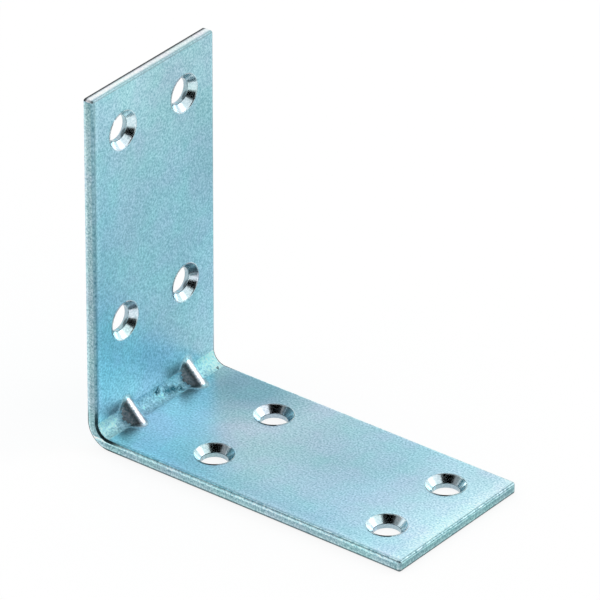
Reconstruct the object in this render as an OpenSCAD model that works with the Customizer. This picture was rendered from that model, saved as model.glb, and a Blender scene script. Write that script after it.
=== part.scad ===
// Wide corner brace, folded from one strip of zinc-plated steel sheet.
// A flat leg and a standing leg meet at a round bend. Each leg has four
// countersunk screw holes, and two ribs are pressed across the inside of the bend.
// All sizes are in millimetres. The flat leg lies along X, the width is along Y.

/* [Sheet] */
// Thickness of the steel sheet
sheet_t = 2.5; // [1.8:0.1:3]
// Width of the strip, across both legs
width = 38.5; // [36:0.5:80]
// Radius on the inside of the bend
bend_r = 3.0; // [2.4:0.1:6]
// Radius that rounds the sheared edges
edge_r = 0.45; // [0.15:0.05:0.6]
// Radius of the corners of each leg, seen square on
corner_r = 0.7; // [0.4:0.1:4]

/* [Legs] */
// Length of the flat leg, from the back of the bracket
flat_l = 80; // [70:1:160]
// Length of the standing leg, from the underside of the bracket
stand_l = 80; // [70:1:160]

/* [Screw holes] */
// Diameter of the straight part of a screw hole
hole_d = 5.6; // [4:0.1:6.5]
// Diameter of a countersink at the face of the sheet
sink_d = 8.4; // [7:0.1:10]
// Depth of a countersink
sink_depth = 1.4; // [0.8:0.05:1.6]
// Distance of the first row of holes from the outer corner
first_row = 25.5; // [20:0.5:32]
// Distance of the last row of holes from the end of the leg
end_margin = 10.5; // [8:0.5:16]
// Distance of each column of holes from the side edge
side_margin = 9.5; // [8:0.5:12]

/* [Ribs] */
// Height at which a rib runs out on each leg, from the outer face of the other leg
rib_reach = 7.8; // [7:0.1:12]
// Distance of the middle of each rib from the side edge
rib_margin = 9.5; // [8:0.5:12]
// Radius along the crest of a rib
crest_r = 1.6; // [1:0.1:2.4]
// Angle between a flank of a rib and the plane through its crest
flank_angle = 38; // [34:1:55]
// Wall left between the crest of a rib and the dent behind it
rib_wall = 1.8; // [1.4:0.1:3]
// Radius at the root of the dent behind a rib
dent_r = 0.4; // [0.3:0.1:1]

/* [Hidden] */
$fn = 96;

// Spare length on the tools that cut right through
spare = 1;
// Outer radius of the bend
bend_outer_r = bend_r + sheet_t;
// The ribs are laid out along the line that halves the bend, from the outer corner inwards:
// height of the crest, of the root of the dent behind it, and of the rib's foot in the sheet
crest_rise = (sheet_t + rib_reach) / sqrt(2);
dent_rise = crest_rise - rib_wall;
foot_rise = bend_outer_r * (sqrt(2) - 1) + sheet_t / 2;
// Distance of the hole columns and of the ribs from the middle of the strip
column_y = width / 2 - side_margin;
rib_y = width / 2 - rib_margin;

// Rectangle from the origin to size, with its corners rounded to radius r
module rounded_rect(size, r) {
    translate([r, 0]) square([size.x - 2 * r, size.y]);
    translate([0, r]) square([size.x, size.y - 2 * r]);
    for (x = [r, size.x - r], y = [r, size.y - r])
        translate([x, y]) circle(r = r);
}

// Section of the strip: thickness along X, width along Y, its sheared edges rounded
module strip_section() {
    translate([0, -width / 2]) rounded_rect([sheet_t, width], edge_r);
}

// Straight part of the standing leg, from the bend to its free end at z = length
module leg(length) {
    intersection() {
        linear_extrude(length) strip_section();
        rotate([90, 0, 0])
            linear_extrude(width, center = true) rounded_rect([sheet_t, length], edge_r);
        rotate([90, 0, 90])
            linear_extrude(sheet_t)
                translate([-width / 2, 0]) rounded_rect([width, length], corner_r);
        translate([0, -width / 2, bend_outer_r])
            cube([sheet_t, width, length - bend_outer_r]);
    }
}

// Quarter turn of the strip between the two legs
module bend() {
    translate([bend_outer_r, 0, bend_outer_r])
        rotate([90, 0, 0])
            rotate([0, 0, 180]) rotate_extrude(angle = 90)
                translate([bend_r, 0]) strip_section();
}

// One screw hole through the face of the sheet at x = 0, its countersink opening towards +X
module screw_hole() {
    rotate([0, 90, 0]) {
        translate([0, 0, -sheet_t - spare]) cylinder(d = hole_d, h = sheet_t + spare);
        translate([0, 0, -sink_depth]) cylinder(d1 = hole_d, d2 = sink_d, h = sink_depth);
        cylinder(d = sink_d, h = spare);
    }
}

// The four screw holes of the standing leg, placed from its free end at z = length
module leg_holes(length) {
    for (z = [first_row, length - end_margin], y = [-column_y, column_y])
        translate([sheet_t, y, z]) screw_hole();
}

// Section across a rib or the dent behind it: two flanks that rise to a round top.
// They run just inside its circle, so that they cross it in one clean line
module rib_section(rise, top_r, foot) {
    run_in_r = 0.997 * top_r;
    flank_x = run_in_r * cos(flank_angle);
    flank_y = rise - top_r + run_in_r * sin(flank_angle);
    foot_x = flank_x + (flank_y - foot) * tan(flank_angle);
    polygon([[-foot_x, foot], [foot_x, foot], [flank_x, flank_y], [-flank_x, flank_y]]);
    translate([0, rise - top_r]) circle(r = top_r);
}

// That section run across the bend at 45 degrees, from one leg to the other
module across_bend(rise, top_r, foot) {
    rotate([0, 45, 0]) rotate([90, 0, 90])
        linear_extrude(4 * rise, center = true) rib_section(rise, top_r, foot);
}

// One rib, kept to the inside of the bend
module rib() {
    intersection() {
        across_bend(crest_rise, crest_r, foot_rise);
        translate([sheet_t / 2, -width / 2, sheet_t / 2])
            cube([2 * crest_rise, width, 2 * crest_rise]);
    }
}

// The bracket, its origin under the middle of the space that it fills
module bracket() {
    color([0.62, 0.76, 0.80])
        translate([-flat_l / 2, 0, 0])
            difference() {
                union() {
                    leg(stand_l);
                    mirror([1, 0, -1]) leg(flat_l);
                    bend();
                    for (side = [-1, 1]) translate([0, side * rib_y, 0]) rib();
                }
                leg_holes(stand_l);
                mirror([1, 0, -1]) leg_holes(flat_l);
                for (side = [-1, 1])
                    translate([0, side * rib_y, 0]) across_bend(dent_rise, dent_r, 0);
            }
}

bracket();
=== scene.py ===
"""Wide corner brace of zinc-plated steel sheet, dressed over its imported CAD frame.

The brace is one folded strip: a flat leg, a standing leg, a round bend with two
pressed ribs, and four countersunk screw holes in each leg. Everything is in metres,
in the frame of the CAD model.
"""

import logging
import math
from dataclasses import dataclass, field
from enum import Enum
from typing import Callable

import bpy
from mathutils import Matrix, Vector


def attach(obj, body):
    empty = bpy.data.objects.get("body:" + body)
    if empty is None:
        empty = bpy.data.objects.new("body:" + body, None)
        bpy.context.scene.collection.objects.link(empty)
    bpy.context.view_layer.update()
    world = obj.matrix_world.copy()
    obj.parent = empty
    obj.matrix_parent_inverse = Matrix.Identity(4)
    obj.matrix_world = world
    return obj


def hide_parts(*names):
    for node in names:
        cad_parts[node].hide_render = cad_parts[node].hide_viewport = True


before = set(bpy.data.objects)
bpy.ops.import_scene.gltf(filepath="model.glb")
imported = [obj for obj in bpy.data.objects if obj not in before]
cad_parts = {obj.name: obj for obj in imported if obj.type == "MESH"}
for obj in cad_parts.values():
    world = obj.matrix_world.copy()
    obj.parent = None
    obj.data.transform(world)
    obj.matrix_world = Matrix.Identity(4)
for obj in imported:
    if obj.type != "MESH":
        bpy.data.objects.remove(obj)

LOG = logging.getLogger("corner_brace")
MM = 0.001
# Two places nearer than this are the same place
SAME = 1e-6
# A face whose normal has more than this along an axis faces that way
FACING = 0.9
# Odd place from which the parts of a mesh are counted, so that no two are equally far
COUNT_FROM = (11.3 * MM, 27.1 * MM, 53.7 * MM)
# Nearly all values of a noise texture lie between these two
NOISE_LOW, NOISE_HIGH = 0.3, 0.7

Point = tuple[float, float, float]
Colour = tuple[float, float, float]
Stops = tuple[tuple[float, Colour], ...]
Socket = bpy.types.NodeSocket
# A band of this colour leaves the tone under it as it is
PLAIN: Colour = (1.0, 1.0, 1.0)


class Leg(Enum):
    """The two legs of the brace."""

    FLAT = "flat"
    STANDING = "standing"


class Face(Enum):
    """Material index of each kind of surface on the brace."""

    SHEET = 0
    SHEARED = 1
    ARRIS = 2
    SCREW_HOLE = 3
    TOP_END = 4
    BEND = 5
    RIB = 6


def linear(red: int, green: int, blue: int) -> Colour:
    """Turn a display colour into the scene's linear colour.

    Args:
        red: Red, 0 to 255.
        green: Green, 0 to 255.
        blue: Blue, 0 to 255.

    Returns:
        The three linear values, 0 to 1.
    """
    return tuple(
        c / 12.92 if c <= 0.04045 else ((c + 0.055) / 1.055) ** 2.4
        for c in (red / 255, green / 255, blue / 255)
    )


class Nodes:
    """Short helper that adds and links the nodes of one material or world."""

    def __init__(self, tree: bpy.types.NodeTree) -> None:
        """Keep the tree and clear what is in it."""
        self.tree = tree
        self.tree.nodes.clear()

    def add(self, kind: str, inputs: dict | None = None, **settings) -> bpy.types.Node:
        """Add a node.

        Args:
            kind: The node's type name.
            inputs: Socket name or index to a value, or to an output to link from.
            **settings: Attributes of the node, such as operation.

        Returns:
            The new node.
        """
        node = self.tree.nodes.new(kind)
        for name, value in settings.items():
            setattr(node, name, value)
        for key, value in (inputs or {}).items():
            if isinstance(value, Socket):
                self.tree.links.new(value, node.inputs[key])
            else:
                node.inputs[key].default_value = value
        return node

    def ramp(self, factor: Socket, stops: Stops) -> Socket:
        """Add a colour ramp.

        Args:
            factor: What drives the ramp.
            stops: Position and colour of each stop, lowest first.

        Returns:
            The ramp's colour output.
        """
        node = self.add("ShaderNodeValToRGB", {"Fac": factor})
        elements = node.color_ramp.elements
        while len(elements) < len(stops):
            elements.new(0.5)
        for element, (position, colour) in zip(elements, stops):
            element.position = position
            element.color = (*colour, 1.0)
        return node.outputs["Color"]

    def noise(self, place: Socket, size: float, detail: float) -> Socket:
        """Add a noise texture.

        Args:
            place: The coordinates that it reads.
            size: About how wide its blotches are.
            detail: How many finer layers it has.

        Returns:
            The noise's value, mostly between 0.3 and 0.7.
        """
        inputs = {"Vector": place, "Scale": 1 / size, "Detail": detail}
        return self.add("ShaderNodeTexNoise", inputs).outputs["Fac"]

    def multiply(self, first: Socket, second: Socket) -> Socket:
        """Multiply two colours and return the result."""
        inputs = {0: 1.0, 6: first, 7: second}
        node = self.add("ShaderNodeMix", inputs, data_type="RGBA", blend_type="MULTIPLY")
        return node.outputs[2]

    def mix(self, factor: Socket, first: Socket, second: Socket) -> Socket:
        """Mix two colours by a factor and return the result."""
        inputs = {0: factor, 6: first, 7: second}
        return self.add("ShaderNodeMix", inputs, data_type="RGBA").outputs[2]

    def shades(self, source: Socket, amount: float) -> Socket:
        """Turn a noise into a grey that swings by an amount to both sides of one."""
        low, high = 1.0 - amount, 1.0 + amount
        return self.ramp(source, ((0.33, (low,) * 3), (0.67, (high,) * 3)))

    def vector(self, operation: str, first: object, second: object) -> Socket:
        """Combine two vectors, given as sockets or values, and return the result."""
        node = self.add("ShaderNodeVectorMath", {0: first, 1: second}, operation=operation)
        return node.outputs["Vector"]

    def spread(self, value: Socket, start: float, end: float) -> Socket:
        """Stretch a value so that start becomes nought and end becomes one."""
        inputs = {"Value": value, "From Min": start, "From Max": end}
        return self.add("ShaderNodeMapRange", inputs).outputs["Result"]

    def swing(self, noise: Socket, low: float, high: float) -> Socket:
        """Stretch a noise over the span from low to high and return the result."""
        limits = {"From Min": NOISE_LOW, "From Max": NOISE_HIGH, "To Min": low, "To Max": high}
        return self.add("ShaderNodeMapRange", {"Value": noise, **limits}).outputs["Result"]


@dataclass(frozen=True)
class SheetPlace:
    """Works out where a place lies in the folded sheet, for tones and bands on it."""

    back_x: float = -40 * MM
    leg: float = 80 * MM
    outer_r: float = 5.5 * MM
    sheet_t: float = 2.5 * MM
    width: float = 38.5 * MM
    blend: float = 6 * MM

    def depth(self, nodes: Nodes, place: Socket) -> Socket:
        """Add the nodes that measure the depth in the sheet.

        Args:
            nodes: The material's nodes.
            place: Object coordinates.

        Returns:
            Nought on the outer face of the sheet, one on its inner face.
        """
        centre = (self.back_x + self.outer_r, 0.0, self.outer_r)
        toward = nodes.vector("SUBTRACT", centre, place)
        inside = nodes.vector("MAXIMUM", toward, (0.0, 0.0, 0.0))
        flat = nodes.vector("MULTIPLY", inside, (1.0, 0.0, 1.0))
        radius = nodes.add("ShaderNodeVectorMath", {0: flat}, operation="LENGTH").outputs["Value"]
        return nodes.spread(radius, self.outer_r, self.outer_r - self.sheet_t)

    def runs(self, nodes: Nodes, place: Socket) -> tuple[Socket, Socket, Socket]:
        """Add the nodes that measure how far along the legs a place is.

        Args:
            nodes: The material's nodes.
            place: Object coordinates.

        Returns:
            The run along the flat leg and along the standing leg, nought to one, and
            how much the place belongs to the standing leg.
        """
        split = nodes.add("ShaderNodeSeparateXYZ", {"Vector": place}).outputs
        flat_run = nodes.spread(split["X"], self.back_x, self.back_x + self.leg)
        stand_run = nodes.spread(split["Z"], 0.0, self.leg)
        lead = nodes.add("ShaderNodeMath", {0: stand_run, 1: flat_run}, operation="SUBTRACT")
        half = self.blend / self.leg / 2
        return flat_run, stand_run, nodes.spread(lead.outputs[0], -half, half)


@dataclass(frozen=True)
class FleckAndShadePatch:
    """Ragged dark patch, with its middle, its reach and its depth of tone.

    It serves for flecks in the plating and for painted shade where the sheet reflects
    something dark.
    """

    centre: Point
    reach: float
    shade: float


@dataclass(frozen=True)
class ZincFinish:
    """Satin electro-zinc plating with a pale blue passivation.

    Its tone along each leg is the zinc's colour with painted light and shade, lighter and
    darker stretches standing in for reflected light, under clouds of teal and lilac and a
    fine grain. The bands follow the depth in the sheet, the height above the floor or the
    place across the width, and paint light and shade: painted highlights on edges, crests
    and bend ends, and painted shade on flanks, in bores and along the floor. Specks are
    dark pits and pale sparkles. Flecks and shade patches are ragged dark marks: flecks in
    the bend, and painted shade where the flat leg reflects something dark.
    """

    name: str
    flat_tone_and_painted_light: Stops
    stand_tone_and_painted_light: Stops
    roughness: float
    grain: float = 0.22
    grain_size: float = 0.42 * MM
    grain_depth: float = 0.012 * MM
    painted_depth_bands: Stops = ()
    painted_height_bands: Stops = ()
    painted_across_bands: Stops = ()
    specks: float = 0.0
    speck_size: float = 1.5 * MM
    flecks_and_shade_patches: tuple[FleckAndShadePatch, ...] = ()
    fleck_and_shade_rag: float = 0.7 * MM
    fleck_and_shade_rag_size: float = 0.8 * MM
    patch_size: float = 7 * MM
    patch_hues: Stops = ((0.36, (0.95, 1.02, 1.0)), (0.66, (1.06, 0.97, 1.02)))
    cloud_size: float = 24 * MM
    cloud: float = 0.07
    gloss_swing: float = 0.15

    def tone(self, nodes: Nodes, place: Socket) -> Socket:
        """Add the nodes that mix the tones of the two legs and the clouds over them.

        Args:
            nodes: The material's nodes.
            place: Object coordinates.

        Returns:
            The colour, still without bands, marks and grain.
        """
        flat_run, stand_run, standing = SheetPlace().runs(nodes, place)
        colour = nodes.mix(
            standing, nodes.ramp(flat_run, self.flat_tone_and_painted_light), nodes.ramp(stand_run, self.stand_tone_and_painted_light)
        )
        patches = nodes.noise(place, self.patch_size, 2.0)
        clouds = nodes.noise(place, self.cloud_size, 3.0)
        colour = nodes.multiply(colour, nodes.ramp(patches, self.patch_hues))
        return nodes.multiply(colour, nodes.shades(clouds, self.cloud))

    def banded(self, nodes: Nodes, place: Socket, colour: Socket) -> Socket:
        """Add the nodes that lay the painted light and shade bands over a colour.

        Args:
            nodes: The material's nodes.
            place: Object coordinates.
            colour: The colour under the bands.

        Returns:
            The colour with its bands.
        """
        where = SheetPlace()
        split = nodes.add("ShaderNodeSeparateXYZ", {"Vector": place}).outputs
        if self.painted_depth_bands:
            depth = where.depth(nodes, place)
            colour = nodes.multiply(colour, nodes.ramp(depth, self.painted_depth_bands))
        if self.painted_height_bands:
            height = nodes.spread(split["Z"], 0.0, where.sheet_t)
            colour = nodes.multiply(colour, nodes.ramp(height, self.painted_height_bands))
        if self.painted_across_bands:
            across = nodes.spread(split["Y"], -where.width / 2, where.width / 2)
            colour = nodes.multiply(colour, nodes.ramp(across, self.painted_across_bands))
        return colour

    def marked(self, nodes: Nodes, place: Socket, colour: Socket) -> Socket:
        """Add the nodes that lay the flecks, the painted shade patches and the specks over a
        colour.

        Args:
            nodes: The material's nodes.
            place: Object coordinates.
            colour: The colour under the marks.

        Returns:
            The colour with its marks.
        """
        if self.flecks_and_shade_patches:
            rag = nodes.noise(place, self.fleck_and_shade_rag_size, 2.0)
            flutter = nodes.swing(rag, -self.fleck_and_shade_rag, self.fleck_and_shade_rag)
            ragged = nodes.vector("ADD", place, flutter)
        for dark_patch in self.flecks_and_shade_patches:
            gap = nodes.add(
                "ShaderNodeVectorMath", {0: ragged, 1: dark_patch.centre}, operation="DISTANCE"
            )
            near = nodes.spread(gap.outputs["Value"], 0.0, dark_patch.reach)
            dark = (dark_patch.shade**1.25, dark_patch.shade**0.7, dark_patch.shade**0.6)
            colour = nodes.multiply(colour, nodes.ramp(near, ((0.3, dark), (1.0, PLAIN))))
        if self.specks:
            pits = nodes.noise(place, self.speck_size, 3.0)
            pit, sparkle = (1.0 - self.specks,) * 3, (1.3,) * 3
            stops = ((0.25, pit), (0.31, PLAIN), (0.62, PLAIN), (0.7, sparkle))
            colour = nodes.multiply(colour, nodes.ramp(pits, stops))
        return colour

    def material(self) -> bpy.types.Material:
        """Build the finish as a Blender material.

        Returns:
            The material, a metal.
        """
        material = bpy.data.materials.new(self.name)
        material.use_nodes = True
        nodes = Nodes(material.node_tree)
        place = nodes.add("ShaderNodeTexCoord").outputs["Object"]
        colour = self.tone(nodes, place)
        colour = self.banded(nodes, place, colour)
        colour = self.marked(nodes, place, colour)
        grain = nodes.noise(place, self.grain_size, 2.0)
        dark, pale = 1.0 - self.grain, 1.0 + self.grain
        shades = (
            (NOISE_LOW, (dark**1.5, dark, dark**0.9)),
            (NOISE_HIGH, (pale**1.5, pale, pale**0.9)),
        )
        dull, glossy = 1.0 + self.gloss_swing, 1.0 - self.gloss_swing
        bump = nodes.add(
            "ShaderNodeBump", {"Height": grain, "Strength": 1.0, "Distance": self.grain_depth}
        )
        metal = nodes.add(
            "ShaderNodeBsdfPrincipled",
            {
                "Base Color": nodes.multiply(colour, nodes.ramp(grain, shades)),
                "Metallic": 1.0,
                "Roughness": nodes.swing(grain, self.roughness * dull, self.roughness * glossy),
                "Normal": bump.outputs["Normal"],
            },
        )
        nodes.add("ShaderNodeOutputMaterial", {"Surface": metal.outputs["BSDF"]})
        return material


def brace_finishes() -> list[ZincFinish]:
    """List the finishes of the brace, in the order of the Face options.

    Returns:
        One finish for each kind of surface.
    """
    # Tones along the flat and the standing leg: the zinc's colour with painted light and shade,
    # lighter and darker stretches that stand in for the light the sheet reflects
    flat_tone_and_painted_light = (
        (0.0, linear(178, 209, 219)),
        (0.3, linear(178, 210, 221)),
        (0.55, linear(159, 203, 216)),
        (0.72, linear(162, 208, 224)),
        (0.95, linear(190, 226, 240)),
        (0.985, linear(206, 242, 250)),
    )
    stand_tone_and_painted_light = (
        (0.0, linear(176, 220, 232)),
        (0.2, linear(146, 201, 216)),
        (0.4, linear(138, 195, 210)),
        (0.65, linear(142, 196, 210)),
        (0.8, linear(151, 200, 212)),
        (0.96, linear(163, 209, 219)),
    )
    cut_tone = (
        (0.0, linear(167, 206, 212)),
        (0.96, linear(166, 203, 208)),
        (1.0, linear(141, 186, 188)),
    )
    # Arris tones along each leg, with painted shade: a dark stretch along the arris of the bend
    flat_arris_with_painted_shade = (
        (0.08, linear(46, 66, 70)),
        (0.12, linear(180, 226, 234)),
        (0.98, linear(180, 226, 234)),
        (1.0, linear(140, 178, 184)),
    )
    stand_arris_with_painted_shade = (
        (0.08, linear(40, 64, 70)),
        (0.12, linear(122, 172, 184)),
        (1.0, linear(130, 176, 188)),
    )
    # Paler copy of the zinc tone for the countersinks: a painted highlight on the cones
    painted_cone_highlight_tone = ((0.0, linear(214, 236, 242)), (1.0, linear(214, 236, 242)))
    # Near-white tone: a painted highlight on the top end, and the base of the painted light on the
    # ribs
    painted_highlight_tone = ((0.0, linear(250, 254, 255)), (1.0, linear(250, 254, 255)))
    # Painted light on the inner bend: painted highlights at both ends of the bend and a paler
    # middle
    painted_bend_end_light, painted_bend_side_light, painted_bend_middle_light = (1.6, 1.5, 1.42), (1.35, 1.35, 1.3), (1.02, 1.2, 1.22)
    # Painted light and shade on the ribs: painted shade on the flanks and a painted highlight on
    # the crest
    painted_flank_shade, painted_crest_highlight, painted_far_flank_shade = (0.24, 0.34, 0.38), (0.95, 0.97, 1.0), (0.6, 0.66, 0.7)
    return [
        ZincFinish(
            "zinc_satin",
            flat_tone_and_painted_light,
            stand_tone_and_painted_light,
            0.36,
            grain=0.24,
            # Painted light and shade across the width: a painted dark line along the near edge,
            # painted shade over the near side and a painted highlight along the far edge
            painted_across_bands=(
                (0.012, (0.5, 0.56, 0.56)),
                (0.026, PLAIN),
                (0.036, (1.02, 1.06, 1.06)),
                (0.06, (0.87, 0.96, 0.97)),
                (0.11, (0.89, 0.97, 0.98)),
                (0.25, PLAIN),
                (0.975, PLAIN),
                (0.99, (1.2, 1.12, 1.1)),
            ),
            # Painted shade: a dark reflection painted on the flat leg, near the far side between
            # the rib and the first hole
            flecks_and_shade_patches=(FleckAndShadePatch((-25 * MM, 16 * MM, 2.5 * MM), 17 * MM, 0.5),),
        ),
        ZincFinish(
            "zinc_sheared_edge",
            cut_tone,
            cut_tone,
            0.5,
            grain=0.3,
            grain_depth=0.02 * MM,
            # Painted light and shade through the sheet: a painted highlight along the outer part
            # of the cut edge and painted shade in grey bands towards the inner face
            painted_depth_bands=(
                (0.12, (2.0, 1.8, 1.75)),
                (0.24, (1.5, 1.4, 1.4)),
                (0.4, PLAIN),
                (0.55, (0.92, 0.95, 0.96)),
                (0.72, (0.95, 0.98, 1.0)),
                (0.85, (0.78, 0.86, 0.88)),
            ),
            # Painted shadow along the bottom, where the flat leg meets the floor, and a painted
            # highlight near its top
            painted_height_bands=(
                (0.05, (0.08, 0.1, 0.1)),
                (0.2, (0.25, 0.3, 0.31)),
                (0.3, PLAIN),
                (0.68, (0.9, 0.93, 0.95)),
                (0.78, (2.0, 1.85, 1.8)),
                (0.95, (2.0, 1.85, 1.8)),
                (1.0, PLAIN),
            ),
        ),
        ZincFinish(
            "zinc_arris",
            flat_arris_with_painted_shade,
            stand_arris_with_painted_shade,
            0.35,
            grain=0.4,
            grain_size=0.6 * MM,
            grain_depth=0.02 * MM,
            # Painted highlight along the outer edge
            painted_depth_bands=((0.1, (2.4, 1.8, 1.7)), (0.4, PLAIN)),
            painted_height_bands=(
                # Painted shadow along the bottom, where the flat leg meets the floor
                (0.04, (0.03, 0.04, 0.04)),
                (0.16, (0.1, 0.13, 0.14)),
                (0.3, PLAIN),
            ),
        ),
        ZincFinish(
            "zinc_countersink",
            painted_cone_highlight_tone,
            painted_cone_highlight_tone,
            0.2,
            grain=0.12,
            grain_depth=0.006 * MM,
            # Painted shade: the bore below the countersink is darker
            painted_depth_bands=((0.4, (0.55, 0.6, 0.62)), (0.47, PLAIN)),
        ),
        ZincFinish(
            "zinc_top_end",
            painted_highlight_tone,
            painted_highlight_tone,
            0.5,
            grain=0.1,
            # Painted shade: a dark band along the outer edge of the top end, where the rounded
            # edge turns away, and a darker band near the inner face
            painted_depth_bands=(
                (0.0, (0.03, 0.035, 0.04)),
                (0.24, (0.05, 0.06, 0.065)),
                (0.38, (0.8, 0.85, 0.87)),
                (0.5, PLAIN),
                (0.7, (0.9, 0.97, 1.0)),
                (0.9, (0.36, 0.52, 0.56)),
            ),
        ),
        ZincFinish(
            "zinc_bend",
            flat_tone_and_painted_light,
            stand_tone_and_painted_light,
            0.75,
            grain=0.17,
            grain_depth=0.02 * MM,
            flecks_and_shade_patches=(
                FleckAndShadePatch((-37.2 * MM, -0.1 * MM, 4.4 * MM), 1.1 * MM, 0.08),
                FleckAndShadePatch((-36.6 * MM, 2.6 * MM, 3.5 * MM), 1.5 * MM, 0.25),
                FleckAndShadePatch((-36.3 * MM, 4.2 * MM, 3.2 * MM), 1.2 * MM, 0.15),
                FleckAndShadePatch((-35.8 * MM, 5.8 * MM, 2.9 * MM), 1.1 * MM, 0.12),
            ),
            specks=0.6,
            # Painted highlights at both ends of the bend, and painted light along its middle
            painted_across_bands=(
                (0.03, painted_bend_end_light),
                (0.12, painted_bend_side_light),
                (0.22, painted_bend_middle_light),
                (0.8, painted_bend_middle_light),
                (0.88, painted_bend_side_light),
                (0.97, painted_bend_end_light),
            ),
        ),
        ZincFinish(
            "zinc_rib",
            painted_highlight_tone,
            painted_highlight_tone,
            0.36,
            grain=0.35,
            specks=0.85,
            # Painted shade on the flanks of each rib and a painted highlight along its crest
            painted_across_bands=(
                (0.23, painted_flank_shade),
                (0.243, painted_crest_highlight),
                (0.257, painted_crest_highlight),
                (0.275, painted_far_flank_shade),
                (0.5, painted_far_flank_shade),
                (0.6, painted_flank_shade),
                (0.736, painted_flank_shade),
                (0.749, painted_crest_highlight),
                (0.763, painted_crest_highlight),
                (0.781, painted_far_flank_shade),
            ),
        ),
    ]


@dataclass
class PressedRib:
    """Section across a rib or across the dent behind it."""

    rise: float
    top_r: float
    flank_angle: float

    def height(self, across: float) -> float:
        """Height of the section along the line that halves the bend.

        Args:
            across: Distance from the middle of the rib, across the sheet.

        Returns:
            The distance from the outer corner of the brace.
        """
        flank_x = self.top_r * math.cos(self.flank_angle)
        if abs(across) <= flank_x:
            return self.rise - self.top_r + math.sqrt(self.top_r**2 - across**2)
        flank_y = self.rise - self.top_r + self.top_r * math.sin(self.flank_angle)
        return flank_y - (abs(across) - flank_x) / math.tan(self.flank_angle)


@dataclass
class ScrewHoles:
    """Cutters for the countersunk screw holes, one shape copied eight times."""

    bore_r: float = 2.8 * MM
    sink_r: float = 4.2 * MM
    sink_depth: float = 1.4 * MM
    sheet_t: float = 2.5 * MM
    rows: tuple[float, float] = (25.5 * MM, 69.5 * MM)
    column_y: float = 9.75 * MM
    spare: float = 0.6 * MM
    sides: int = 72

    def cutter(self) -> bpy.types.Object:
        """Model one cutter at the origin, its countersink opening upwards at z = 0.

        Returns:
            A closed cutter: straight bore, cone and spare head.
        """
        low, turn = -self.sheet_t - self.spare, -self.sink_depth
        bpy.ops.mesh.primitive_cylinder_add(
            vertices=self.sides,
            radius=self.bore_r,
            depth=turn - low,
            location=(0, 0, (turn + low) / 2),
        )
        cutter = bpy.context.object
        bpy.ops.object.transform_apply(location=True, rotation=True, scale=True)
        select_faces(cutter, lambda middle, normal: normal.z > FACING)
        bpy.ops.object.mode_set(mode="EDIT")
        bpy.ops.mesh.extrude_region_move(TRANSFORM_OT_translate={"value": (0, 0, self.sink_depth)})
        wider = self.sink_r / self.bore_r
        bpy.ops.transform.resize(value=(wider, wider, 1), center_override=(0, 0, 0))
        bpy.ops.mesh.extrude_region_move(TRANSFORM_OT_translate={"value": (0, 0, self.spare)})
        bpy.ops.object.mode_set(mode="OBJECT")
        return cutter

    def all_cutters(self, back_x: float) -> bpy.types.Object:
        """Copy the cutter to the eight holes and join the copies.

        Args:
            back_x: Where the back of the standing leg is, along X.

        Returns:
            One object with the eight cutters.
        """
        first = self.cutter()
        copies = [first]
        places = [(leg, row, side) for leg in Leg for row in self.rows for side in (-1, 1)]
        for _ in places[1:]:
            select_only(first)
            bpy.ops.object.duplicate(linked=False)
            copies.append(bpy.context.object)
        for copy, (leg, row, side) in zip(copies, places):
            if leg is Leg.FLAT:
                copy.location = (back_x + row, side * self.column_y, self.sheet_t)
            else:
                copy.rotation_euler = (0, math.pi / 2, 0)
                copy.location = (back_x + self.sheet_t, side * self.column_y, row)
        select_only(*copies)
        bpy.ops.object.join()
        bpy.ops.object.transform_apply(location=True, rotation=True, scale=True)
        return first


def select_only(*pieces: bpy.types.Object) -> None:
    """Select these pieces and nothing else, and make the first one active."""
    bpy.ops.object.select_all(action="DESELECT")
    for piece in pieces:
        piece.select_set(True)
    bpy.context.view_layer.objects.active = pieces[0]


def select_faces(piece: bpy.types.Object, wanted: Callable[[Vector, Vector], bool]) -> None:
    """Select the faces of a piece by place and direction, and nothing else.

    Args:
        piece: The piece, in object mode and active.
        wanted: Given a face's centre and normal, says whether it is selected.
    """
    bpy.ops.object.mode_set(mode="EDIT")
    bpy.ops.mesh.select_mode(type="FACE")
    bpy.ops.mesh.select_all(action="DESELECT")
    bpy.ops.object.mode_set(mode="OBJECT")
    for polygon in piece.data.polygons:
        polygon.select = bool(wanted(polygon.center, polygon.normal))


def select_vertices(piece: bpy.types.Object, wanted: Callable[[Vector], bool]) -> int:
    """Select the vertices of a piece by place, and nothing else.

    Args:
        piece: The piece, in object mode and active.
        wanted: Given a vertex's place, says whether it is selected.

    Returns:
        How many vertices are selected.
    """
    bpy.ops.object.mode_set(mode="EDIT")
    bpy.ops.mesh.select_mode(type="VERT")
    bpy.ops.mesh.select_all(action="DESELECT")
    bpy.ops.object.mode_set(mode="OBJECT")
    count = 0
    for vertex in piece.data.vertices:
        vertex.select = bool(wanted(vertex.co))
        count += vertex.select
    return count


def settle_order(piece: bpy.types.Object) -> None:
    """Number the vertices, edges and faces of a piece by place, the same in each run.

    Spin, extrude and boolean number them differently in each run, and smoothing and
    dissolving follow those numbers in their last digits.

    Args:
        piece: The piece, in object mode.
    """
    select_only(piece)
    bpy.context.scene.cursor.location = COUNT_FROM
    bpy.ops.object.mode_set(mode="EDIT")
    bpy.ops.mesh.select_mode(type="FACE")
    bpy.ops.mesh.select_all(action="SELECT")
    bpy.ops.mesh.sort_elements(type="CURSOR_DISTANCE", elements={"VERT", "EDGE", "FACE"})
    bpy.ops.object.mode_set(mode="OBJECT")


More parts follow.
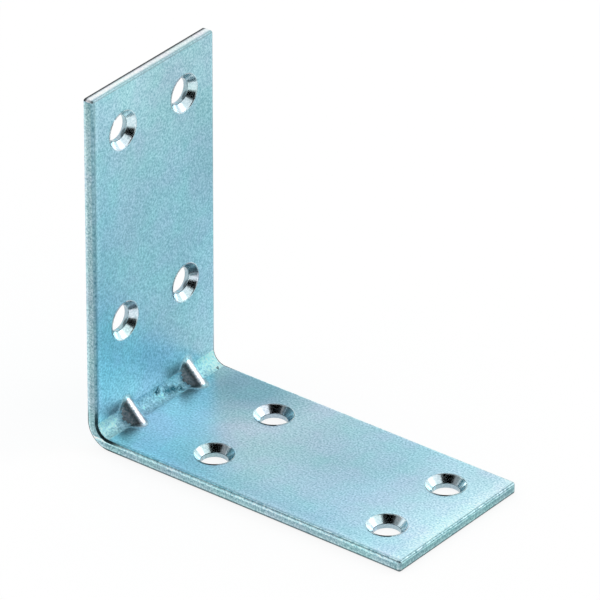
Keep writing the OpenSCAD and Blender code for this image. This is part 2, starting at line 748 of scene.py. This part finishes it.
@dataclass
class CornerBrace:
    """The folded strip of sheet, its ribs, holes and edges."""

    sheet_t: float = 2.5 * MM
    width: float = 38.5 * MM
    flat_l: float = 80 * MM
    stand_l: float = 80 * MM
    bend_r: float = 3.0 * MM
    bend_steps: int = 24
    corner_r: float = 0.7 * MM
    arris_r: float = 0.45 * MM
    rim_r: float = 0.16 * MM
    rib_y: float = 9.75 * MM
    rib_zone: float = 11 * MM
    rib_half_width: float = 4.4 * MM
    mesh_step: float = 0.25 * MM
    column_slack: float = 0.02 * MM
    rib_rise: float = 10.3 * MM / math.sqrt(2)
    rib_wall: float = 1.8 * MM
    crest_r: float = 1.7 * MM
    crest_flank: float = math.radians(36)
    dent_r: float = 0.4 * MM
    dent_flank: float = math.radians(38)
    soften_passes: int = 11
    even_angle: float = math.radians(0.04)
    sharp_angle: float = math.radians(30)
    rib_clearance: float = 0.5 * MM
    bend_margin: float = 0.2 * MM
    face_slack: float = 0.1 * MM
    rim_zone: float = 0.3 * MM
    holes: ScrewHoles = field(default_factory=ScrewHoles)

    @property
    def rib(self) -> PressedRib:
        """Section of a rib before softening: rounder and steeper than it ends up."""
        return PressedRib(self.rib_rise, self.crest_r, self.crest_flank)

    @property
    def dent(self) -> PressedRib:
        """Section of the dent behind a rib."""
        return PressedRib(self.rib_rise - self.rib_wall, self.dent_r, self.dent_flank)

    @property
    def back_x(self) -> float:
        """Where the back of the standing leg is, along X."""
        return -self.flat_l / 2

    @property
    def outer_r(self) -> float:
        """Outer radius of the bend."""
        return self.bend_r + self.sheet_t

    def along(self, place: Vector) -> float:
        """Distance of a place from the outer corner, along the line that halves the bend."""
        return (place.x - self.back_x + place.z) / math.sqrt(2)

    def depth(self, place: Vector) -> float:
        """Depth of a place in the sheet, from its outer face.

        Args:
            place: A place in the sheet.

        Returns:
            Nought on the outer face, and the sheet's thickness on the inner face.
        """
        from_x = max(self.outer_r - (place.x - self.back_x), 0.0)
        from_z = max(self.outer_r - place.z, 0.0)
        return self.outer_r - math.hypot(from_x, from_z)

    def strip(self) -> bpy.types.Object:
        """Model the folded strip, with a fine grid of edges where the ribs will be.

        Returns:
            The strip, still with sharp edges and no holes.
        """
        start, end = self.back_x + self.outer_r, self.back_x + self.rib_zone
        bpy.ops.mesh.primitive_cube_add(
            size=1,
            location=((start + end) / 2, 0, self.sheet_t / 2),
            scale=(end - start, self.width, self.sheet_t),
        )
        strip = bpy.context.object
        strip.name = "zinc_plated_brace"
        bpy.ops.object.transform_apply(location=True, rotation=True, scale=True)
        bpy.ops.object.mode_set(mode="EDIT")
        rows = round((end - start) / self.mesh_step)
        for row in range(1, rows):
            self.cut_across((start + (end - start) * row / rows, 0, 0), (1, 0, 0))
        columns = round(self.rib_half_width / self.mesh_step)
        for side in (-1, 1):
            for column in range(-columns, columns + 1):
                y = side * self.rib_y + column * self.mesh_step
                self.cut_across((0, y, 0), (0, 1, 0))
        bpy.ops.object.mode_set(mode="OBJECT")
        select_faces(strip, lambda middle, normal: normal.x < -FACING)
        bpy.ops.object.mode_set(mode="EDIT")
        bpy.ops.mesh.spin(
            steps=self.bend_steps,
            angle=math.pi / 2,
            center=(start, 0, self.outer_r),
            axis=(0, -1, 0),
        )
        lift = (self.rib_zone - self.outer_r) / rows
        for _ in range(rows):
            bpy.ops.mesh.extrude_region_move(TRANSFORM_OT_translate={"value": (0, 0, lift)})
        rest = self.stand_l - self.rib_zone
        bpy.ops.mesh.extrude_region_move(TRANSFORM_OT_translate={"value": (0, 0, rest)})
        bpy.ops.object.mode_set(mode="OBJECT")
        select_faces(strip, lambda middle, normal: normal.x > FACING and middle.x > end - SAME)
        bpy.ops.object.mode_set(mode="EDIT")
        rest = self.flat_l - self.rib_zone
        bpy.ops.mesh.extrude_region_move(TRANSFORM_OT_translate={"value": (rest, 0, 0)})
        bpy.ops.object.mode_set(mode="OBJECT")
        return strip

    @staticmethod
    def cut_across(place: tuple, normal: tuple) -> None:
        """Cut edges into the whole mesh along a plane, in edit mode."""
        bpy.ops.mesh.select_all(action="SELECT")
        bpy.ops.mesh.bisect(plane_co=place, plane_no=normal)

    def press(self, strip: bpy.types.Object, section: PressedRib, inner: bool) -> None:
        """Press a rib or its dent, column by column, into one side of the bend.

        Args:
            strip: The folded strip.
            section: The section to press.
            inner: Whether it is pressed into the inner or the outer side.
        """
        columns = round(self.rib_half_width / self.mesh_step)
        for side in (-1, 1):
            for column in range(-columns, columns + 1):
                across = column * self.mesh_step
                self.press_column(
                    strip, side * self.rib_y + across, section.height(across), inner
                )

    def press_column(
        self, strip: bpy.types.Object, y: float, height: float, inner: bool
    ) -> None:
        """Bring the low vertices of one column up to a height.

        Args:
            strip: The folded strip.
            y: Where the column is, across the width.
            height: How far from the outer corner it ends, along the line that halves the bend.
            inner: Whether its inner or its outer side is moved.
        """

        def below(place: Vector) -> bool:
            """Say whether a vertex of this column lies lower than the height."""
            return (
                abs(place.y - y) < self.column_slack
                and (self.depth(place) > self.sheet_t / 2) == inner
                and self.along(place) < height
            )

        if not select_vertices(strip, below):
            return
        half = math.sqrt(0.5)
        bpy.ops.object.mode_set(mode="EDIT")
        bpy.ops.transform.resize(
            value=(1, 1, 0),
            orient_type="GLOBAL",
            orient_matrix=Matrix(((half, 0, half), (0, 1, 0), (-half, 0, half))),
            orient_matrix_type="GLOBAL",
            constraint_axis=(False, False, True),
            center_override=(self.back_x + height * half, y, height * half),
        )
        bpy.ops.object.mode_set(mode="OBJECT")

    def soften(self, strip: bpy.types.Object) -> None:
        """Smooth the feet of the ribs and of the dents, and join what is even around them."""
        reach = self.rib_half_width - 0.5 * self.mesh_step

        def near_rib(place: Vector) -> bool:
            """Say whether a vertex is in the pressed part of the bend."""
            return (
                abs(abs(place.y) - self.rib_y) < reach
                and max(place.x - self.back_x, place.z) < self.rib_zone - self.mesh_step
            )

        select_vertices(strip, near_rib)
        bpy.ops.object.mode_set(mode="EDIT")
        bpy.ops.mesh.vertices_smooth(factor=0.5, repeat=self.soften_passes)
        bpy.ops.mesh.select_all(action="SELECT")
        bpy.ops.mesh.dissolve_limited(angle_limit=self.even_angle)
        bpy.ops.object.mode_set(mode="OBJECT")

    def drill(self, strip: bpy.types.Object) -> None:
        """Cut the eight screw holes."""
        cutters = self.holes.all_cutters(self.back_x)
        cut = strip.modifiers.new("screw_holes", "BOOLEAN")
        cut.operation = "DIFFERENCE"
        cut.solver = "EXACT"
        cut.object = cutters
        select_only(strip)
        bpy.ops.object.modifier_apply(modifier=cut.name)
        bpy.data.objects.remove(cutters, do_unlink=True)

    def hole_distance(self, place: Vector) -> float:
        """Distance of a place from the axis of the nearest screw hole."""
        from_back, top = place.x - self.back_x, self.sheet_t + self.face_slack
        runs = []
        if place.z < top:
            runs.append(from_back)
        if from_back < top:
            runs.append(place.z)
        aside = abs(place.y) - self.holes.column_y
        found = [math.hypot(run - row, aside) for run in runs for row in self.holes.rows]
        return min(found, default=math.inf)

    def select_edges(
        self, strip: bpy.types.Object, wanted: Callable[[Vector, Vector], bool]
    ) -> int:
        """Select the edges that are sharp and wanted, and nothing else.

        Args:
            strip: The strip, in object mode and active.
            wanted: Given an edge's two ends, says whether it is selected.

        Returns:
            How many edges are selected.
        """
        bpy.ops.object.mode_set(mode="EDIT")
        bpy.ops.mesh.select_mode(type="EDGE")
        bpy.ops.mesh.select_all(action="DESELECT")
        bpy.ops.mesh.edges_select_sharp(sharpness=self.sharp_angle)
        bpy.ops.object.mode_set(mode="OBJECT")
        mesh, count = strip.data, 0
        for edge in mesh.edges:
            ends = [mesh.vertices[i].co for i in edge.vertices]
            edge.select = edge.select and bool(wanted(*ends))
            count += edge.select
        for vertex in mesh.vertices:
            vertex.select = False
        for polygon in mesh.polygons:
            polygon.select = False
        return count

    def round_edges(self, strip: bpy.types.Object) -> None:
        """Round the corners of the legs, the sheared edges and the rims of the holes."""
        end_x, end_z, side_y = self.back_x + self.flat_l, self.stand_l, self.width / 2

        def at_corner(a: Vector, b: Vector) -> bool:
            """Say whether an edge runs through the sheet at a corner of a leg."""
            on_side = abs(abs(a.y) - side_y) < SAME and abs(abs(b.y) - side_y) < SAME
            at_end = min(a.x, b.x) > end_x - SAME or min(a.z, b.z) > end_z - SAME
            return on_side and at_end and abs(a.y - b.y) < SAME

        def at_hole(a: Vector, b: Vector) -> bool:
            """Say whether an edge is on the rim of a screw hole."""
            near = self.holes.sink_r + self.rim_zone
            return max(self.hole_distance(a), self.hole_distance(b)) < near

        def at_arris(a: Vector, b: Vector) -> bool:
            """Say whether an edge is on the outline of the strip, its round corners too."""
            for place in (a, b):
                inside = abs(place.y) < side_y - self.corner_r * 1.1
                if inside and place.x < end_x - SAME and place.z < end_z - SAME:
                    return False
            return True

        for name, wanted, radius, steps in (
            ("leg corners", at_corner, self.corner_r, 5),
            ("sheared edges", at_arris, self.arris_r, 3),
            ("hole rims", at_hole, self.rim_r, 2),
        ):
            count = self.select_edges(strip, wanted)
            LOG.info("rounding %d edges: %s", count, name)
            bpy.ops.object.mode_set(mode="EDIT")
            bpy.ops.mesh.bevel(
                offset_type="OFFSET",
                offset=radius,
                segments=steps,
                affect="EDGES",
                clamp_overlap=False,
            )
            bpy.ops.object.mode_set(mode="OBJECT")

    def bend_kind(self, place: Vector) -> Face:
        """Tell the bend and its ribs from the plain sheet.

        Args:
            place: The centre of a face.

        Returns:
            The kind of surface there.
        """
        depth = self.depth(place)
        in_rib = abs(abs(place.y) - self.rib_y) < self.rib_half_width
        if in_rib and depth > self.sheet_t + self.rib_clearance:
            return Face.RIB
        painted_bend_end_light = self.outer_r - self.bend_margin
        if depth > self.sheet_t / 2 and max(place.x - self.back_x, place.z) < painted_bend_end_light:
            return Face.BEND
        return Face.SHEET

    def sort_faces(self, strip: bpy.types.Object) -> None:
        """Give each face the material of its kind of surface."""
        end_x, end_z, side_y = self.back_x + self.flat_l, self.stand_l, self.width / 2
        # The rounded rim of a hole belongs to the hole, the level sheet around it doesn't
        hole_r, level = self.holes.sink_r + self.rim_r * 0.8, 0.995
        for polygon in strip.data.polygons:
            middle, normal = polygon.center, polygon.normal
            kind = self.bend_kind(middle)
            leans = max(abs(normal.x), abs(normal.z)) < level
            if leans and self.hole_distance(middle) < hole_r:
                kind = Face.SCREW_HOLE
            side_gap, end_gap = side_y - abs(middle.y), end_z - middle.z
            edge_gap = min(side_gap, end_x - middle.x, end_gap)
            if end_gap < self.arris_r and side_gap > SAME:
                kind = Face.TOP_END
            elif edge_gap < SAME:
                kind = Face.SHEARED
            elif edge_gap < self.arris_r:
                kind = Face.ARRIS
            polygon.material_index = kind.value

    def dress(self, strip: bpy.types.Object) -> None:
        """Give the strip its finishes and its smooth shading."""
        strip.data.materials.clear()
        for finish in brace_finishes():
            strip.data.materials.append(finish.material())
        self.sort_faces(strip)
        select_only(strip)
        bpy.ops.object.shade_smooth()
        even = strip.modifiers.new("even_shading", "WEIGHTED_NORMAL")
        even.mode = "FACE_AREA"
        even.weight = 50
        bpy.ops.object.modifier_apply(modifier=even.name)

    def build(self) -> bpy.types.Object:
        """Model and dress the brace.

        Returns:
            The finished piece, riding on the frame.
        """
        strip = self.strip()
        LOG.info("strip folded: %d faces", len(strip.data.polygons))
        self.press(strip, self.rib, inner=True)
        self.press(strip, self.dent, inner=False)
        settle_order(strip)
        self.soften(strip)
        LOG.info("ribs pressed: %d faces", len(strip.data.polygons))
        self.drill(strip)
        LOG.info("holes drilled: %d faces", len(strip.data.polygons))
        self.round_edges(strip)
        settle_order(strip)
        self.dress(strip)
        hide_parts("bracket")
        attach(strip, "root")
        LOG.info("brace finished: %d faces", len(strip.data.polygons))
        return strip


@dataclass(frozen=True)
class Card:
    """Round card on the camera's side, which only reflections in the metal show.

    Attributes:
        name: The card's name.
        toward: The direction in which it stands.
        reach: Its radius, seen from the object, in degrees.
        gap: Its distance from the object.
        shade: How light its grey is.
    """

    name: str
    toward: Point
    reach: float
    gap: float
    shade: float


@dataclass(frozen=True)
class Lamp:
    """Soft square lamp that faces the object.

    Attributes:
        name: The lamp's name.
        place: Where it hangs.
        size: The length of its sides.
        watts: Its power.
    """

    name: str
    place: Point
    size: float
    watts: float


@dataclass
class Studio:
    """White sweep, soft lamps and the camera at the photograph's angle."""

    camera_place: Point = (0.811035, -1.040514, 0.809831)
    camera_turn: Point = (59.71363, -0.099295, 38.000284)
    lens: float = 458.7436
    sensor: float = 36.0
    nearest: float = 0.05
    farthest: float = 20.0
    room_seen: float = 1.0
    room_fill: float = 0.75
    floor_size: float = 8.0
    floor_gap: float = 0.02 * MM
    floor_grey: float = 0.8
    floor_shade: float = 0.2
    floor_glow: float = 0.84
    card_sides: int = 64
    cards: tuple[Card, ...] = (
        Card("grey_card", (-0.05, -0.62, 0.78), 42, 0.75, 0.3),
        Card("black_card_high", (0.2, -0.43, 0.87), 30, 0.65, 0.0),
        Card("black_card_right", (0.85, -0.46, 0.25), 24, 0.65, 0.0),
    )
    lamps: tuple[Lamp, ...] = (
        Lamp("soft_key", (0.75, 1.0, 0.8), 0.55, 2.1),
        Lamp("soft_left", (-1.4, 0.35, 0.25), 0.5, 1.2),
    )

    @staticmethod
    def grey(shade: float) -> tuple[float, float, float, float]:
        """Give the colour of a neutral grey."""
        return (shade, shade, shade, 1.0)

    def world(self) -> None:
        """White for what looks at it, and a soft grey for what it lights."""
        world = bpy.data.worlds.new("white_room")
        bpy.context.scene.world = world
        world.use_nodes = True
        nodes = Nodes(world.node_tree)
        strength = nodes.add(
            "ShaderNodeMapRange",
            {"Value": self.seen(nodes), "To Min": self.room_fill, "To Max": self.room_seen},
        )
        light = nodes.add(
            "ShaderNodeBackground",
            {"Color": self.grey(1.0), "Strength": strength.outputs["Result"]},
        )
        nodes.add("ShaderNodeOutputWorld", {"Surface": light.outputs["Background"]})

    @staticmethod
    def seen(nodes: Nodes) -> Socket:
        """One for a ray that shows the background, straight, in metal or through glass."""
        path = nodes.add("ShaderNodeLightPath").outputs
        seen = path["Is Camera Ray"]
        for ray in ("Is Glossy Ray", "Is Transmission Ray"):
            more = nodes.add("ShaderNodeMath", {0: seen, 1: path[ray]}, operation="MAXIMUM")
            seen = more.outputs[0]
        return seen

    def floor(self) -> bpy.types.Object:
        """Lay a plain pale floor that shows white and keeps the object's shadow.

        Returns:
            The floor, marked as stage.
        """
        bpy.ops.mesh.primitive_plane_add(size=self.floor_size, location=(0, 0, -self.floor_gap))
        floor = bpy.context.object
        floor.name = "pale_floor"
        material = bpy.data.materials.new("pale_floor")
        material.use_nodes = True
        nodes = Nodes(material.node_tree)
        matt = nodes.add("ShaderNodeBsdfDiffuse", {"Color": self.grey(self.floor_grey)})
        shaded = nodes.add("ShaderNodeBsdfDiffuse", {"Color": self.grey(self.floor_shade)})
        glow = nodes.add(
            "ShaderNodeEmission", {"Color": self.grey(1.0), "Strength": self.floor_glow}
        )
        both = nodes.add("ShaderNodeAddShader", {0: shaded.outputs[0], 1: glow.outputs[0]})
        mixed = nodes.add(
            "ShaderNodeMixShader", {0: self.seen(nodes), 1: matt.outputs[0], 2: both.outputs[0]}
        )
        nodes.add("ShaderNodeOutputMaterial", {"Surface": mixed.outputs[0]})
        floor.data.materials.append(material)
        return floor

    def stand(self, card: Card) -> None:
        """Stand a card in its place: the camera, the shadows and the floor don't show it.

        Args:
            card: The card.
        """
        way = Vector(card.toward).normalized()
        bpy.ops.mesh.primitive_circle_add(
            vertices=self.card_sides,
            radius=card.gap * math.tan(math.radians(card.reach)),
            fill_type="NGON",
            location=way * card.gap,
            rotation=way.to_track_quat("Z", "Y").to_euler(),
        )
        disc = bpy.context.object
        disc.name = card.name
        material = bpy.data.materials.new(card.name)
        material.use_nodes = True
        nodes = Nodes(material.node_tree)
        felt = nodes.add("ShaderNodeEmission", {"Color": self.grey(card.shade)})
        nodes.add("ShaderNodeOutputMaterial", {"Surface": felt.outputs[0]})
        disc.data.materials.append(material)
        disc.visible_camera = False
        disc.visible_shadow = False
        disc.visible_diffuse = False

    @staticmethod
    def hang(lamp: Lamp) -> None:
        """Hang a lamp in its place, facing the object.

        Args:
            lamp: The lamp.
        """
        light = bpy.data.lights.new(lamp.name, "AREA")
        light.shape = "SQUARE"
        light.size = lamp.size
        light.energy = lamp.watts
        holder = bpy.data.objects.new(lamp.name, light)
        holder.location = lamp.place
        holder.rotation_euler = Vector(lamp.place).to_track_quat("Z", "Y").to_euler()
        bpy.context.scene.collection.objects.link(holder)

    def camera(self) -> None:
        """Set up the camera at the photograph's viewing angle."""
        data = bpy.data.cameras.new("camera")
        data.lens = self.lens
        data.sensor_width = self.sensor
        data.clip_start, data.clip_end = self.nearest, self.farthest
        camera = bpy.data.objects.new("camera", data)
        camera.location = self.camera_place
        camera.rotation_euler = tuple(math.radians(angle) for angle in self.camera_turn)
        bpy.context.scene.collection.objects.link(camera)
        bpy.context.scene.camera = camera

    def build(self) -> None:
        """Set up the whole studio."""
        self.camera()
        self.world()
        self.floor()
        for card in self.cards:
            self.stand(card)
        for lamp in self.lamps:
            self.hang(lamp)
        bpy.context.scene.view_settings.view_transform = "Standard"
        LOG.info("studio ready")


def main() -> None:
    """Build the brace and its studio, in order."""
    logging.basicConfig(level=logging.INFO, format="%(name)s: %(message)s")
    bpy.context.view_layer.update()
    Studio().build()
    CornerBrace().build()


if __name__ == "__main__":
    main()
